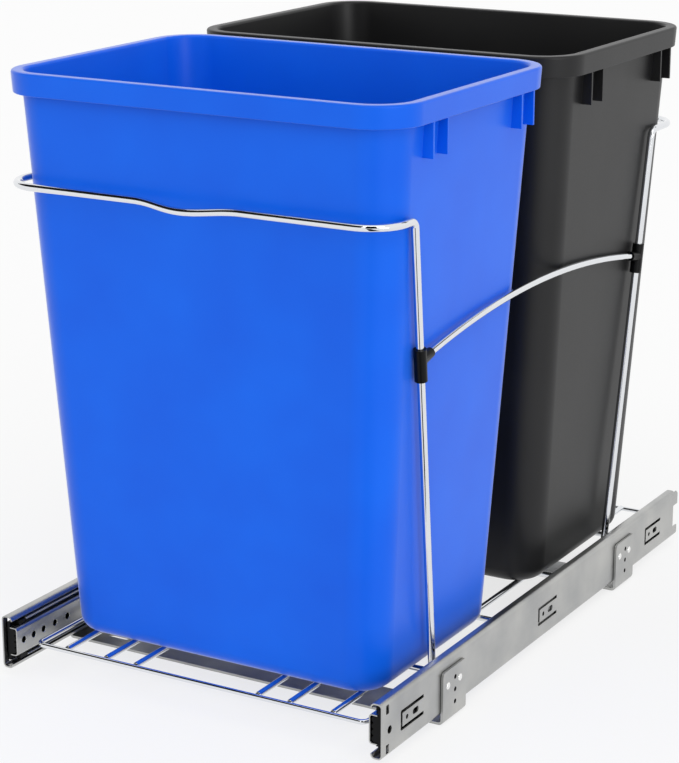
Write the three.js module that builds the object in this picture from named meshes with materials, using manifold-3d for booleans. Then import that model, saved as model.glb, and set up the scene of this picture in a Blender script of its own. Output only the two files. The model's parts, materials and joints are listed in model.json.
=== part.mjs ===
// Pull-out waste unit for a kitchen base cabinet: two tapered bins stand on a welded wire base that rides on
// a pair of three-member ball-bearing slides, joined underneath by two flat steel cross plates.
// Millimetres, +X right, +Y to the back of the cabinet, +Z up. The origin is under the middle of the unit,
// on the plane of the cross plates' undersides.
import * as THREE from "three";
import { mergeVertices } from "three/addons/utils/BufferGeometryUtils.js";
import Module from "manifold-3d";

const wasm = await Module();
wasm.setup();

// Driving dimensions
const GAP = 0.3; // between pieces that touch
const SIDES = { left: -1, right: 1 };

const SLIDE = {
  length: 559,
  webX: 172.8, // outer face of each outer rail's web, from the middle
  centreZ: 29.4,
  thickness: 12.7,
};
const OUTER = { height: 44, depth: 10, sheet: 1.2, bend: 3, lip: 3.3, lipBend: 3.2 };
const MID = {
  height: 33.1,
  webU: 2.9,
  edgeU: 10.9,
  sheet: 1.1,
  bend: 1.4,
  lip: { drop: 1.1, run: 2.2, bend: 1.2 },
  front: -262,
  rear: 268,
  stopSlot: { radius: 2.5, length: 22 },
};
const INNER = { height: 23.8, edgeU: 5.6, sheet: 1.1, bend: 2.2, front: -277, rear: 262 };
// Lanced windows in an outer rail: a C-shaped slot, open to the rear, round a tab with two holes.
const WINDOW = {
  fronts: [-251.5, -17.7, 203.8],
  length: 35.5,
  height: 16.2,
  slot: 2.7,
  dropZ: -1.3,
  smallHole: { back: 9.8, radius: 1.9 },
  longHole: { back: 23, radius: 2.4, length: 9 },
};
const FRONT_HOLES = {
  y: -268.3,
  drop: 1.3,
  radius: 3.1,
  slots: { y: -271.5, width: 4.4, low: 12, high: 19.2 }, // heights above and below the rail's middle
};
const REAR_END = { flangeEnds: 273, corner: 5, notch: { low: -12.2, high: 8.6, depth: 9.5 } };
const DRAWER_HOLES = { radius: 2.7, ys: [-268.3, -255.4, -242.4, -227.3, -210.5, 205, 228, 251] };
const SIGHT_HOLE = { y: -242.4, drop: 1, radius: 3.2 }; // lines up with a hole of the inner rail
// Cages: legs run between two members' flanges and carry the balls; a thin web joins the legs.
const OUTER_CAGE = {
  webU: 1.6,
  sheet: 0.9,
  legEndU: 8.2,
  legV: 18.7,
  ball: { u: 6.2, radius: 1.85 },
  ends: [-140, 130],
};
const INNER_CAGE = {
  webU: 4.3,
  sheet: 0.7,
  legEndU: 9.4,
  legV: 13.65,
  ball: { u: 7.2, radius: 1.45 },
  ends: [-114, 114],
};
const BALLS_PER_LEG = 6;
const BUMPER = {
  setBack: 0.5, // from the front of the inner rail
  joint: 0.3, // how far the nose and lugs reach into the plate
  plate: { edgeU: 5.2, half: 16.2 },
  nose: { edgeU: 8.2, half: 10.3 },
  lugs: { edgeU: 10.2, low: 12.4, setBack: 6 },
  scallop: { radius: 2.55, count: 4 },
  tongue: { half: 6, length: 13 },
};

const PLATE = { sheet: 2, width: 38, height: 42.4, bend: 3, frontY: -170, rearY: 154 };
// In each upturned end: a column of holes, two rivets to the outer rail, and nicks in the fold under them
const PLATE_END = {
  holes: { offsetY: 0.9, radius: 1.9, drops: [9.2, 19.4, 29.4] },
  rivets: { offsets: [-10.8, 8.9], radius: 2.9, height: 0.9, z: 29.8 },
  nicks: { offsets: [-10.8, 8.9], width: 3, inset: 0.2, high: 1.8 },
  corners: { front: 4, rear: 3 },
};
const FLOOR_SLOT = { x: 136.6, offsetY: -1.4, length: 19.7, width: 6 }; // with round ends

const WIRE = { frame: 2, cross: 2.5, hoop: 3, brace: 2.8 }; // radii
const BASE = { sideX: 150, front: -264, rear: 271, corner: 6, z: 26.2 };
const LENGTHWISE_X = [-121.5, -84, -56, 56, 84, 121.5];
const CROSSWISE_Y = [-146, -28, 90, 208];

const HOOP = { footX: 150, topX: 166, footZ: 28.5, topZ: 396.9, corner: 28, shoulder: 7 };
const FRONT_HOOP = { footY: -159.5, topY: -224, runY: -265 };
const REAR_HOOP = { footY: 164, topY: 201, runY: 257 };
const BOW = { halfChord: 46, depth: 7.2, droop: 2.6 }; // finger pull in the front hoop

const BRACE = { z: 290, rise: 18, middleY: -12, halfSpan: 192 };
const CLIP = { radius: 4.9, height: 25, drop: 3.5, bossLength: 15.5, bossRoot: 4.7, bossTip: 3.9 };

const BIN = {
  floorZ: 29.9,
  height: 452,
  top: { x: 165.5, y: 119.4, r: 30 }, // half sizes and corner radius of the outer wall under the rim
  bottom: { x: 140.8, y: 98.3, r: 28 },
  wall: 2.3,
  edge: 12, // bottom edge radius
  rim: { overhang: 7.5, skirt: 17, sheet: 2.3, round: 2.2 },
  blueY: -136.5,
  blackY: 131.5,
};
const RIB = { sheet: 2.2, drop: 43, pairs: [[-73, -51.5], [68, 88]] };

const STEEL = { color: 0xafafad, metalness: 0.9, roughness: 0.35 };
const CHROME = { color: 0xd8dade, metalness: 1, roughness: 0.12 };
const BLACK_PLASTIC = { color: 0x17181a, metalness: 0, roughness: 0.45 };
const BLUE_PLASTIC = { color: 0x2164e6, metalness: 0, roughness: 0.4 };
const GREY_BLACK_PLASTIC = { color: 0x2a2a2b, metalness: 0, roughness: 0.5 };

const unit = new THREE.Group();

function add(name, geometry, finish) {
  const mesh = new THREE.Mesh(geometry, new THREE.MeshStandardMaterial(finish));
  mesh.name = name;
  unit.add(mesh);
}

// Closed solids for joining and cutting
function solid(geometry) {
  const flat = geometry.index ? geometry.toNonIndexed() : geometry;
  const bare = new THREE.BufferGeometry().setAttribute("position", flat.getAttribute("position"));
  const merged = mergeVertices(bare, 1e-4);
  return new wasm.Manifold(
    new wasm.Mesh({
      numProp: 3,
      vertProperties: merged.attributes.position.array,
      triVerts: new Uint32Array(merged.index.array),
    }),
  );
}

function geometryOf(body) {
  const mesh = body.getMesh();
  const geometry = new THREE.BufferGeometry()
    .setAttribute("position", new THREE.BufferAttribute(new Float32Array(mesh.vertProperties), 3))
    .setIndex(new THREE.BufferAttribute(new Uint32Array(mesh.triVerts), 1));
  geometry.computeVertexNormals();
  return geometry;
}

function box(low, high) {
  const size = high.map((h, i) => h - low[i]);
  const middle = high.map((h, i) => (h + low[i]) / 2);
  return solid(new THREE.BoxGeometry(...size).translate(...middle));
}

// A round bar between two points, tapering from radius a to radius b.
function bar(from, to, a, b = a, sides = 12) {
  const axis = new THREE.Vector3().subVectors(to, from);
  const up = new THREE.Vector3(0, 1, 0);
  const turn = new THREE.Quaternion().setFromUnitVectors(up, axis.clone().normalize());
  const middle = new THREE.Vector3().addVectors(from, to).multiplyScalar(0.5);
  const geometry = new THREE.CylinderGeometry(b, a, axis.length(), sides);
  return solid(geometry.applyQuaternion(turn).translate(middle.x, middle.y, middle.z));
}

// A hole along X, round, or a slot of the given length along Y.
function drillX(x, y, z, radius, length = 0) {
  const reach = 3;
  const hole = (at) =>
    bar(new THREE.Vector3(x - reach, at, z), new THREE.Vector3(x + reach, at, z), radius);
  if (length <= 2 * radius) return hole(y);
  const half = length / 2 - radius;
  return hole(y - half)
    .add(hole(y + half))
    .add(box([x - reach, y - half, z - radius], [x + reach, y + half, z + radius]));
}

// Points of a path whose corners are rounded; each corner is [x, y, z] with an optional radius after it.
function roundedPath(corners, closed = false, steps = 5) {
  const at = (i) => new THREE.Vector3(...corners[(i + corners.length) % corners.length]);
  const points = [];
  corners.forEach(([, , , radius = 0], i) => {
    const here = at(i);
    const atEnd = !closed && (i === 0 || i === corners.length - 1);
    if (atEnd || radius === 0) {
      points.push(here);
      return;
    }
    const back = at(i - 1).sub(here).normalize();
    const on = at(i + 1).sub(here).normalize();
    const half = back.angleTo(on) / 2;
    const cut = radius / Math.tan(half);
    const centre = back.clone().add(on).normalize().multiplyScalar(radius / Math.sin(half)).add(here);
    const start = here.clone().addScaledVector(back, cut).sub(centre);
    const end = here.clone().addScaledVector(on, cut).sub(centre);
    const sweep = start.angleTo(end);
    for (let k = 0; k <= steps; k++) {
      const t = k / steps;
      const arc = start.clone().multiplyScalar(Math.sin((1 - t) * sweep));
      arc.addScaledVector(end, Math.sin(t * sweep)).divideScalar(Math.sin(sweep));
      points.push(arc.add(centre));
    }
  });
  return points;
}

// A closed surface through rings of points; every ring has the same number of points.
function skin(rings, closed) {
  const count = rings[0].length;
  const position = rings.flat().flatMap((p) => [p.x, p.y, p.z]);
  const index = [];
  const last = closed ? rings.length : rings.length - 1;
  for (let i = 0; i < last; i++) {
    const a = i * count;
    const b = ((i + 1) % rings.length) * count;
    for (let k = 0; k < count; k++) {
      const n = (k + 1) % count;
      index.push(a + k, a + n, b + k, a + n, b + n, b + k);
    }
  }
  if (!closed) {
    const end = (rings.length - 1) * count;
    for (let k = 1; k < count - 1; k++) {
      index.push(0, k + 1, k);
      index.push(end, end + k, end + k + 1);
    }
  }
  const geometry = new THREE.BufferGeometry();
  geometry.setAttribute("position", new THREE.Float32BufferAttribute(position, 3));
  geometry.setIndex(index);
  geometry.computeVertexNormals();
  return geometry;
}

// Round wire along points: each ring lies in the plane that halves the bend there.
function wire(points, radius, closed = false, sides = 8) {
  const n = points.length;
  const tangents = points.map((p, i) => {
    const before = points[closed ? (i + n - 1) % n : Math.max(i - 1, 0)];
    const after = points[closed ? (i + 1) % n : Math.min(i + 1, n - 1)];
    const a = p.clone().sub(before).normalize();
    const b = after.clone().sub(p).normalize();
    return a.add(b).normalize();
  });
  let up = Math.abs(tangents[0].z) > 0.9 ? new THREE.Vector3(1, 0, 0) : new THREE.Vector3(0, 0, 1);
  const rings = points.map((p, i) => {
    up = up.clone().addScaledVector(tangents[i], -up.dot(tangents[i])).normalize();
    const side = new THREE.Vector3().crossVectors(tangents[i], up);
    return Array.from({ length: sides }, (_, k) => {
      const angle = ((k + 0.5) / sides) * 2 * Math.PI;
      return p
        .clone()
        .addScaledVector(up, radius * Math.cos(angle))
        .addScaledVector(side, -radius * Math.sin(angle));
    });
  });
  return skin(rings.map((ring) => ring.reverse()), closed);
}

// Section of a sheet bent along a centre line of [u, v, bend radius] points. On a slide, u runs inward from
// the outer rail's web and v up from the middle of the rail.
function bentSheet(line, sheet) {
  const points = roundedPath(line.map(([u, v, bend = 0]) => [u, v, 0, bend]), false, 3);
  const edge = (sign) =>
    points.map((p, i) => {
      const along = new THREE.Vector3();
      if (i > 0) along.add(p.clone().sub(points[i - 1]).normalize());
      if (i < points.length - 1) along.add(points[i + 1].clone().sub(p).normalize());
      along.normalize();
      return new THREE.Vector2(p.x - along.y * sign * (sheet / 2), p.y + along.x * sign * (sheet / 2));
    });
  return new THREE.Shape([...edge(1), ...edge(-1).reverse()]);
}

// The other half of a section's line that is the same above and below.
function flipped(line) {
  return line.map(([u, v, bend]) => [u, -v, bend]).reverse();
}

// Extrudes a [u, v] section along Y between two ends, on the slide of one side.
function member(shape, from, to, side) {
  const geometry = new THREE.ExtrudeGeometry(shape, { depth: to - from, bevelEnabled: false });
  const x = side * SLIDE.webX;
  const place = new THREE.Matrix4().set(
    -side, 0, 0, x,
    0, 0, 1, from,
    0, 1, 0, SLIDE.centreZ,
    0, 0, 0, 1,
  );
  geometry.applyMatrix4(place);
  if (place.determinant() < 0) turnInsideOut(geometry);
  return solid(geometry);
}

function turnInsideOut(geometry) {
  const p = geometry.getAttribute("position");
  const swap = new THREE.Vector3();
  const keep = new THREE.Vector3();
  for (let i = 0; i < p.count; i += 3) {
    swap.fromBufferAttribute(p, i + 1);
    keep.fromBufferAttribute(p, i + 2);
    p.setXYZ(i + 1, keep.x, keep.y, keep.z);
    p.setXYZ(i + 2, swap.x, swap.y, swap.z);
  }
}

// A box given in slide coordinates: [u, v] ranges and a Y range.
function slideBox([u0, u1], [v0, v1], [y0, y1], side) {
  const xs = [side * (SLIDE.webX - u0), side * (SLIDE.webX - u1)];
  return box(
    [Math.min(...xs), y0, SLIDE.centreZ + v0],
    [Math.max(...xs), y1, SLIDE.centreZ + v1],
  );
}

function outerRail(side) {
  const half = OUTER.height / 2 - OUTER.sheet / 2;
  const edge = OUTER.depth - OUTER.sheet / 2;
  const web = OUTER.sheet / 2;
  const line = [[edge, half - OUTER.lip], [edge, half, OUTER.lipBend], [web, half, OUTER.bend]];
  const shape = bentSheet([...line, ...flipped(line)], OUTER.sheet);
  const end = SLIDE.length / 2;
  const x = side * SLIDE.webX;
  const through = [-2, OUTER.depth / 2];
  let rail = member(shape, -end, end, side);

  for (const front of WINDOW.fronts) {
    const middle = WINDOW.dropZ;
    const low = middle - WINDOW.height / 2;
    const high = middle + WINDOW.height / 2;
    const rear = front + WINDOW.length;
    const cuts = [
      slideBox(through, [low, high], [front, front + WINDOW.slot], side),
      slideBox(through, [low, low + WINDOW.slot], [front, rear], side),
      slideBox(through, [high - WINDOW.slot, high], [front, rear], side),
    ];
    const z = SLIDE.centreZ + middle;
    const { smallHole, longHole } = WINDOW;
    cuts.push(drillX(x, front + smallHole.back, z, smallHole.radius));
    cuts.push(drillX(x, front + longHole.back, z, longHole.radius, longHole.length));
    for (const cut of cuts) rail = rail.subtract(cut);
  }
  rail = rail.subtract(drillX(x, FRONT_HOLES.y, SLIDE.centreZ - FRONT_HOLES.drop, FRONT_HOLES.radius));
  const { slots } = FRONT_HOLES;
  for (const sign of [1, -1]) {
    const v = [sign * slots.low, sign * slots.high].sort((a, b) => a - b);
    rail = rail.subtract(slideBox(through, v, [slots.y - slots.width / 2, slots.y + slots.width / 2], side));
  }
  // Rear end: the top flange stops short, the web's top corner is rounded and its edge is notched.
  const top = OUTER.height / 2;
  const past = end + 1;
  const { flangeEnds, corner, notch } = REAR_END;
  const cutBacks = [
    slideBox([OUTER.sheet, OUTER.depth + 1], [0, top + 1], [flangeEnds, past], side),
    slideBox(through, [notch.low, notch.high], [end - notch.depth, past], side),
    cornerCut(x, end, SLIDE.centreZ + top, 1, corner),
  ];
  for (const cut of cutBacks) rail = rail.subtract(cut);
  return rail;
}

function midRail(side) {
  const half = MID.height / 2 - MID.sheet / 2;
  const web = MID.webU + MID.sheet / 2;
  const { lip, stopSlot } = MID;
  const line = [[MID.edgeU, half - lip.drop], [MID.edgeU - lip.run, half, lip.bend], [web, half, MID.bend]];
  const shape = bentSheet([...line, ...flipped(line)], MID.sheet);
  const x = side * (SLIDE.webX - web);
  return member(shape, MID.front, MID.rear, side)
    .subtract(drillX(x, SIGHT_HOLE.y, SLIDE.centreZ - SIGHT_HOLE.drop, SIGHT_HOLE.radius))
    .subtract(drillX(x, 0, SLIDE.centreZ, stopSlot.radius, stopSlot.length));
}

function innerRail(side) {
  const half = INNER.height / 2 - INNER.sheet / 2;
  const web = SLIDE.thickness - INNER.sheet / 2;
  const line = [[INNER.edgeU, half], [web, half, INNER.bend]];
  const shape = bentSheet([...line, ...flipped(line)], INNER.sheet);
  let rail = member(shape, INNER.front, INNER.rear, side);
  const x = side * (SLIDE.webX - web);
  for (const y of DRAWER_HOLES.ys) rail = rail.subtract(drillX(x, y, SLIDE.centreZ, DRAWER_HOLES.radius));
  return rail;
}

function ballCage(cage, side) {
  const web = cage.webU + cage.sheet / 2;
  const line = [[cage.legEndU, cage.legV], [web, cage.legV, 1]];
  let body = member(bentSheet([...line, ...flipped(line)], cage.sheet), ...cage.ends, side);
  const x = side * (SLIDE.webX - cage.ball.u);
  for (const sign of [1, -1]) {
    for (let i = 0; i < BALLS_PER_LEG; i++) {
      const ball = new THREE.SphereGeometry(cage.ball.radius, 6, 4);
      const y = THREE.MathUtils.lerp(...cage.ends, (i + 0.5) / BALLS_PER_LEG);
      body = body.add(solid(ball.translate(x, y, SLIDE.centreZ + sign * cage.legV)));
    }
  }
  return body;
}

// Moulded stop on the front end of a mid rail; its scalloped nose fills the drawer member's channel.
function frontBumper(side) {
  const { plate, nose, lugs, scallop, tongue } = BUMPER;
  const y = [INNER.front + BUMPER.setBack, MID.front - GAP];
  const root = plate.edgeU - BUMPER.joint;
  let block = slideBox([MID.webU, plate.edgeU], [-plate.half, plate.half], y, side);
  block = block.add(slideBox([root, nose.edgeU], [-nose.half, nose.half], y, side));
  for (const sign of [1, -1]) {
    const v = [sign * lugs.low, sign * plate.half].sort((a, b) => a - b);
    block = block.add(slideBox([root, lugs.edgeU], v, [y[0] + lugs.setBack, y[1]], side));
  }
  const x = side * (SLIDE.webX - nose.edgeU);
  for (let i = 0; i < scallop.count; i++) {
    const z = SLIDE.centreZ + (i - (scallop.count - 1) / 2) * 2 * scallop.radius;
    const ends = y.map((at) => new THREE.Vector3(x, at, z));
    block = block.add(bar(...ends, scallop.radius, scallop.radius, 10));
  }
  const tongueU = [MID.webU + MID.sheet + GAP, plate.edgeU];
  return block.add(slideBox(tongueU, [-tongue.half, tongue.half], [y[1] - 1, y[1] + tongue.length], side));
}

for (const [word, side] of Object.entries(SIDES)) {
  add(`${word}_outer_rail`, geometryOf(outerRail(side)), STEEL);
  add(`${word}_outer_ball_cage`, geometryOf(ballCage(OUTER_CAGE, side)), STEEL);
  add(`${word}_mid_rail`, geometryOf(midRail(side)), STEEL);
  add(`${word}_front_bumper`, geometryOf(frontBumper(side)), BLACK_PLASTIC);
  add(`${word}_inner_ball_cage`, geometryOf(ballCage(INNER_CAGE, side)), STEEL);
  add(`${word}_inner_rail`, geometryOf(innerRail(side)), STEEL);
}

// Cross plates: one strip bent up at both ends, outside the outer rails.
function crossPlate(middleY) {
  const x = SLIDE.webX + GAP + PLATE.sheet / 2;
  const z = PLATE.sheet / 2;
  const line = [[-x, PLATE.height], [-x, z, PLATE.bend], [x, z, PLATE.bend], [x, PLATE.height]];
  const shape = bentSheet(line, PLATE.sheet);
  const strip = new THREE.ExtrudeGeometry(shape, { depth: PLATE.width, bevelEnabled: false });
  strip.rotateX(Math.PI / 2).translate(0, middleY + PLATE.width / 2, 0);
  let plate = solid(strip);
  const { holes, rivets, nicks, corners } = PLATE_END;
  for (const side of Object.values(SIDES)) {
    const end = side * x;
    const cuts = [floorSlot(side * FLOOR_SLOT.x, middleY + FLOOR_SLOT.offsetY)];
    for (const drop of holes.drops) {
      cuts.push(drillX(end, middleY + holes.offsetY, PLATE.height - drop, holes.radius));
    }
    for (const offset of nicks.offsets) {
      const y = [middleY + offset - nicks.width / 2, middleY + offset + nicks.width / 2];
      const out = [end + side * nicks.inset, end + side * PLATE.sheet].sort((a, b) => a - b);
      cuts.push(box([out[0], y[0], -1], [out[1], y[1], nicks.high]));
    }
    cuts.push(cornerCut(end, middleY - PLATE.width / 2, PLATE.height, -1, corners.front));
    cuts.push(cornerCut(end, middleY + PLATE.width / 2, PLATE.height, 1, corners.rear));
    for (const cut of cuts) plate = plate.subtract(cut);
    for (const offset of rivets.offsets) {
      const head = new THREE.SphereGeometry(1, 8, 4).scale(rivets.height, rivets.radius, rivets.radius);
      head.translate(side * (x + PLATE.sheet / 2), middleY + offset, rivets.z);
      plate = plate.add(solid(head));
    }
  }
  return geometryOf(plate);
}

// What rounding takes off the top corner at y, z of a sheet that stands across X.
function cornerCut(x, y, z, edge, radius) {
  const reach = 5;
  const past = 2;
  const centreY = y - edge * radius;
  const low = z - radius;
  const ys = [centreY, y + edge * past].sort((a, b) => a - b);
  const corner = box([x - reach, ys[0], low], [x + reach, ys[1], z + past]);
  const ends = [-1, 1].map((sign) => new THREE.Vector3(x + sign * (reach + 1), centreY, low));
  return corner.subtract(bar(...ends, radius, radius, 24));
}

// A slot along X with round ends, for a screw into the cabinet floor.
function floorSlot(x, y) {
  const radius = FLOOR_SLOT.width / 2;
  const half = FLOOR_SLOT.length / 2 - radius;
  const z = [-1, PLATE.sheet + 1];
  const end = (at) => bar(new THREE.Vector3(at, y, z[0]), new THREE.Vector3(at, y, z[1]), radius);
  return end(x - half)
    .add(end(x + half))
    .add(box([x - half, y - radius, z[0]], [x + half, y + radius, z[1]]));
}

add("front_cross_plate", crossPlate(PLATE.frontY), STEEL);
add("rear_cross_plate", crossPlate(PLATE.rearY), STEEL);

// Wire base: the bins stand on its lengthwise wires, and its crosswise wires run out to the inner rails.
const perimeter = roundedPath(
  [
    [-BASE.sideX, BASE.front, BASE.z, BASE.corner],
    [BASE.sideX, BASE.front, BASE.z, BASE.corner],
    [BASE.sideX, BASE.rear, BASE.z, BASE.corner],
    [-BASE.sideX, BASE.rear, BASE.z, BASE.corner],
  ],
  true,
);
add("base_perimeter_wire", wire(perimeter, WIRE.frame, true), CHROME);

const lengthwiseZ = BIN.floorZ - GAP - WIRE.cross;
LENGTHWISE_X.forEach((x, i) => {
  const ends = [BASE.front + WIRE.frame + GAP, BASE.rear - WIRE.frame - GAP];
  const points = ends.map((y) => new THREE.Vector3(x, y, lengthwiseZ));
  add(`base_lengthwise_wire_${i + 1}`, wire(points, WIRE.cross), CHROME);
});
CROSSWISE_Y.forEach((y, i) => {
  const z = lengthwiseZ - 2 * WIRE.cross - GAP;
  const end = SLIDE.webX - SLIDE.thickness - GAP;
  const points = [-end, end].map((x) => new THREE.Vector3(x, y, z));
  add(`base_crosswise_wire_${i + 1}`, wire(points, WIRE.cross), CHROME);
});

// Hoops: each stands on the base's side wires, leans out, and reaches round the end of a bin.
function hoopPath({ footY, topY, runY }, bow) {
  const reach = Math.sign(runY);
  const halfRun = [
    [HOOP.footX, footY, HOOP.footZ],
    [HOOP.topX, topY, HOOP.topZ, HOOP.shoulder],
    [HOOP.topX, runY, HOOP.topZ, HOOP.corner],
  ];
  const otherHalf = halfRun.map(([x, ...rest]) => [-x, ...rest]).reverse();
  if (!bow) return roundedPath([...halfRun, ...otherHalf]);
  const arc = [];
  const steps = 12;
  for (let i = 0; i <= steps; i++) {
    const t = 1 - (2 * i) / steps;
    const lift = 0.5 + 0.5 * Math.cos(Math.PI * t);
    arc.push([t * BOW.halfChord, runY + reach * BOW.depth * lift, HOOP.topZ - BOW.droop * lift]);
  }
  return roundedPath([...halfRun, ...arc, ...otherHalf]);
}

add("front_hoop", wire(hoopPath(FRONT_HOOP, true), WIRE.hoop), CHROME);
add("rear_hoop", wire(hoopPath(REAR_HOOP, false), WIRE.hoop), CHROME);

// Point of a hoop's leg at a height, on one side.
function onLeg(hoop, z, side) {
  const t = (z - HOOP.footZ) / (HOOP.topZ - HOOP.footZ);
  return new THREE.Vector3(
    side * THREE.MathUtils.lerp(HOOP.footX, HOOP.topX, t),
    THREE.MathUtils.lerp(hoop.footY, hoop.topY, t),
    z,
  );
}

// The arched brace between the two hoops.
function bracePoint(y, side) {
  const t = (y - BRACE.middleY) / BRACE.halfSpan;
  const x = onLeg(FRONT_HOOP, BRACE.z, side).x;
  return new THREE.Vector3(x, y, BRACE.z + BRACE.rise * (1 - t * t));
}

function braceEnds(side) {
  return [FRONT_HOOP, REAR_HOOP].map((hoop) => {
    const leg = onLeg(hoop, BRACE.z, side);
    const inward = Math.sign(BRACE.middleY - leg.y);
    return { leg, inward, start: leg.y + inward * (WIRE.hoop + 1), tip: leg.y + inward * CLIP.bossLength };
  });
}

function brace(side) {
  const [front, rear] = braceEnds(side);
  const steps = 16;
  const points = [];
  for (let i = 0; i <= steps; i++) {
    const y = THREE.MathUtils.lerp(front.start, rear.start, i / steps);
    points.push(bracePoint(y, side));
  }
  return wire(points, WIRE.brace);
}

// T-shaped clip: a sleeve round the leg and, above its middle, a tapered boss that holds the brace's end.
function clip(hoop, end, side) {
  const along = (reach) => [-reach, reach].map((dz) => onLeg(hoop, BRACE.z - CLIP.drop + dz, side));
  const sleeve = bar(...along(CLIP.height / 2), CLIP.radius, CLIP.radius, 14);
  const bore = bar(...along(CLIP.height), WIRE.hoop + GAP);
  const root = bracePoint(end.leg.y, side);
  const tip = bracePoint(end.tip, side);
  const past = bracePoint(end.tip + end.inward * 4, side);
  const hole = bar(bracePoint(end.leg.y, side), past, WIRE.brace + GAP);
  return geometryOf(sleeve.add(bar(root, tip, CLIP.bossRoot, CLIP.bossTip)).subtract(bore).subtract(hole));
}

for (const [word, side] of Object.entries(SIDES)) {
  const [front, rear] = braceEnds(side);
  add(`${word}_brace_wire`, brace(side), CHROME);
  add(`${word}_front_clip`, clip(FRONT_HOOP, front, side), BLACK_PLASTIC);
  add(`${word}_rear_clip`, clip(REAR_HOOP, rear, side), BLACK_PLASTIC);
}

// Bins
function roundedRing(halfX, halfY, radius, middleY, z) {
  const arcSteps = 6;
  const ring = [];
  for (const [cx, cy, start] of [[1, 1, 0], [-1, 1, 1], [-1, -1, 2], [1, -1, 3]]) {
    for (let k = 0; k <= arcSteps; k++) {
      const angle = ((start + k / arcSteps) * Math.PI) / 2;
      const x = cx * (halfX - radius) + radius * Math.cos(angle);
      const y = cy * (halfY - radius) + radius * Math.sin(angle);
      ring.push(new THREE.Vector3(x, middleY + y, z));
    }
  }
  return ring;
}

// Half sizes of the bin's outer wall at a height above its floor.
function wallAt(z) {
  const t = z / (BIN.height - BIN.rim.skirt);
  const lerp = THREE.MathUtils.lerp;
  return {
    x: lerp(BIN.bottom.x, BIN.top.x, t),
    y: lerp(BIN.bottom.y, BIN.top.y, t),
    r: lerp(BIN.bottom.r, BIN.top.r, t),
  };
}

function bin(middleY) {
  const { wall, edge, height, rim } = BIN;
  const out = rim.overhang;
  // [offset from the outer wall, height above the floor], up the outside, over the rim and down the inside
  const section = [];
  const bends = 3;
  for (let k = 0; k <= bends; k++) {
    const a = (k / bends) * (Math.PI / 2);
    section.push([edge * (Math.sin(a) - 1), edge * (1 - Math.cos(a))]);
  }
  section.push(
    [0, height - rim.skirt],
    [0, height - rim.sheet],
    [out - rim.sheet, height - rim.sheet],
    [out - rim.sheet, height - rim.skirt],
    [out, height - rim.skirt],
    [out, height - rim.round],
    [out - 0.3 * rim.round, height - 0.3 * rim.round],
    [out - rim.round, height],
    [rim.round - wall, height],
    [0.3 * rim.round - wall, height - 0.3 * rim.round],
    [-wall, height - rim.round],
  );
  const insideEdge = edge - wall;
  for (let k = bends; k >= 0; k--) {
    const a = (k / bends) * (Math.PI / 2);
    section.push([-wall + insideEdge * (Math.sin(a) - 1), wall + insideEdge * (1 - Math.cos(a))]);
  }
  const rings = section.map(([offset, z]) => {
    const at = wallAt(Math.min(z, height));
    return roundedRing(at.x + offset, at.y + offset, at.r + offset, middleY, BIN.floorZ + z);
  });
  let body = solid(skin(rings, false));
  for (const side of Object.values(SIDES)) {
    for (const y of RIB.pairs.flat()) {
      const low = height - RIB.drop;
      const inner = wallAt(low).x - wall / 2;
      const outer = wallAt(height).x + out - 1.2;
      const xs = [side * inner, side * outer].sort((a, b) => a - b);
      const rib = box(
        [xs[0], middleY + y - RIB.sheet / 2, BIN.floorZ + low],
        [xs[1], middleY + y + RIB.sheet / 2, BIN.floorZ + height - rim.sheet / 2],
      );
      body = body.add(rib.subtract(insideOfBin(middleY)));
    }
  }
  return geometryOf(body);
}

// The space inside a bin, which keeps the ribs' roots from showing there.
function insideOfBin(middleY) {
  const rings = [1, BIN.height + 5].map((z) => {
    const at = wallAt(z);
    const offset = -BIN.wall / 2;
    return roundedRing(at.x + offset, at.y + offset, at.r + offset, middleY, BIN.floorZ + z);
  });
  return solid(skin(rings, false));
}

add("blue_bin", bin(BIN.blueY), BLUE_PLASTIC);
add("black_bin", bin(BIN.blackY), GREY_BLACK_PLASTIC);

export default unit;
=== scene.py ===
"""Two-bin pull-out waste unit for a kitchen base cabinet, dressed in its finishes.

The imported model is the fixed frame. Each rigid piece is made again here with round wire, true sheet bends,
drafted bin walls and eased edges, and it stands for its node. Sizes are millimetres in the part's own frame:
+X right, +Y to the back of the cabinet, +Z up, the origin between the slides, on the plane that the cross
plates' undersides lie on.
"""

import json
import math

import bmesh
import bpy
from mathutils import Matrix, Vector


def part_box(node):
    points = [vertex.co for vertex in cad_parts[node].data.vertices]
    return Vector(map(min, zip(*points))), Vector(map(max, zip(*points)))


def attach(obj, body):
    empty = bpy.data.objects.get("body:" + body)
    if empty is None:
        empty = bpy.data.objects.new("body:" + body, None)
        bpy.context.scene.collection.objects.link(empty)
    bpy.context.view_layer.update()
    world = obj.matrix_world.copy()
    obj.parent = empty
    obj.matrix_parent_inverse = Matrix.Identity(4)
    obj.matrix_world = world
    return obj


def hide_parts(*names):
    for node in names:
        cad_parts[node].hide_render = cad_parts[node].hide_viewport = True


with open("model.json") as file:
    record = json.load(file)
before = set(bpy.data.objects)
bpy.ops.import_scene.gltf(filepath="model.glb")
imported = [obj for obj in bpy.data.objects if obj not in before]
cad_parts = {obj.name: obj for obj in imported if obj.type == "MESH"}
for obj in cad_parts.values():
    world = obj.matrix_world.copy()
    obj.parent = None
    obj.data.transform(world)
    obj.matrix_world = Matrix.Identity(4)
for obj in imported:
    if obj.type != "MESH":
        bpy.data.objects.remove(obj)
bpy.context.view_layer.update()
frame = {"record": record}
BODY_OF = {node: body for body, nodes in frame["record"]["behaviour"]["bodies"].items() for node in nodes}

# ---------------------------------------------------------------- driving dimensions, in millimetres
MM = 0.001
SIDES = {"left": -1, "right": 1}

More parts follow.
